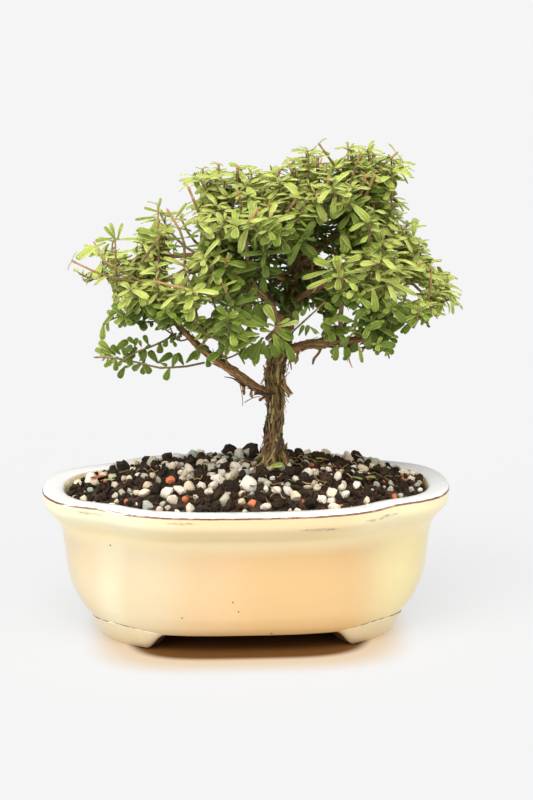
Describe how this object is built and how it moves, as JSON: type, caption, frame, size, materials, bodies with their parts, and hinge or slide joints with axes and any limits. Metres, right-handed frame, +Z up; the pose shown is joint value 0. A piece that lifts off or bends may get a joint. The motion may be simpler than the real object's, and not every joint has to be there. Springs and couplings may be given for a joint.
{
  "type": "bahama berry bonsai",
  "caption": "Small bonsai tree with leafy shoots on a fibrous trunk, standing in gritty soil in a cream glazed, four-lobed oval pot on bracket feet.",
  "frame": {"origin": "middle of the pot's footprint, on the ground under its feet", "axes": "+Z up, +X along the pot's length, -Y towards the front of the tree"},
  "size_m": [0.1855, 0.1118, 0.2198],
  "materials": {
    "glaze": "gloss cream glaze, thin and brown where it breaks over the rim's edge",
    "screen": "moulded mesh",
    "soil": "loose bonsai mix of lava, pumice, fired clay and bark",
    "bark": "fibrous shedding bark, olive and brown",
    "leaf_light": "young leaf, satin, bright yellow-green",
    "leaf_mid": "grown leaf, satin, mid green",
    "leaf_dark": "older inner leaf, satin, dark green"
  },
  "bodies": {
    "root": {"pot": "glaze", "drain_screen_1": "screen", "drain_screen_2": "screen", "soil": "soil", "trunk_and_limbs": "bark", "shoot_01": "leaf_light", "shoot_02": "leaf_light", "shoot_03": "leaf_light", "shoot_04": "leaf_mid", "shoot_05": "leaf_mid", "shoot_06": "leaf_light", "shoot_07": "leaf_light", "shoot_08": "leaf_light", "shoot_09": "leaf_mid", "shoot_10": "leaf_light", "shoot_11": "leaf_mid", "shoot_12": "leaf_mid", "shoot_13": "leaf_mid", "shoot_14": "leaf_mid", "shoot_15": "leaf_mid", "shoot_16": "leaf_mid", "shoot_17": "leaf_dark", "shoot_18": "leaf_light", "shoot_19": "leaf_mid", "shoot_20": "leaf_light", "shoot_21": "leaf_light", "shoot_22": "leaf_mid", "shoot_23": "leaf_mid", "shoot_24": "leaf_light", "shoot_25": "leaf_light", "shoot_26": "leaf_light", "shoot_27": "leaf_light", "shoot_28": "leaf_mid", "shoot_29": "leaf_light", "shoot_30": "leaf_mid", "shoot_31": "leaf_light", "shoot_32": "leaf_light", "shoot_33": "leaf_light", "shoot_34": "leaf_mid", "shoot_35": "leaf_light", "shoot_36": "leaf_mid", "shoot_37": "leaf_mid", "shoot_38": "leaf_mid", "shoot_39": "leaf_dark", "shoot_40": "leaf_mid", "shoot_41": "leaf_light", "shoot_42": "leaf_light", "shoot_43": "leaf_light", "shoot_44": "leaf_dark", "shoot_45": "leaf_dark", "shoot_46": "leaf_mid", "shoot_47": "leaf_light", "shoot_48": "leaf_light", "shoot_49": "leaf_light", "shoot_50": "leaf_mid", "shoot_51": "leaf_light", "shoot_52": "leaf_dark", "shoot_53": "leaf_dark", "shoot_54": "leaf_dark", "shoot_55": "leaf_dark"}
  },
  "joints": []
}
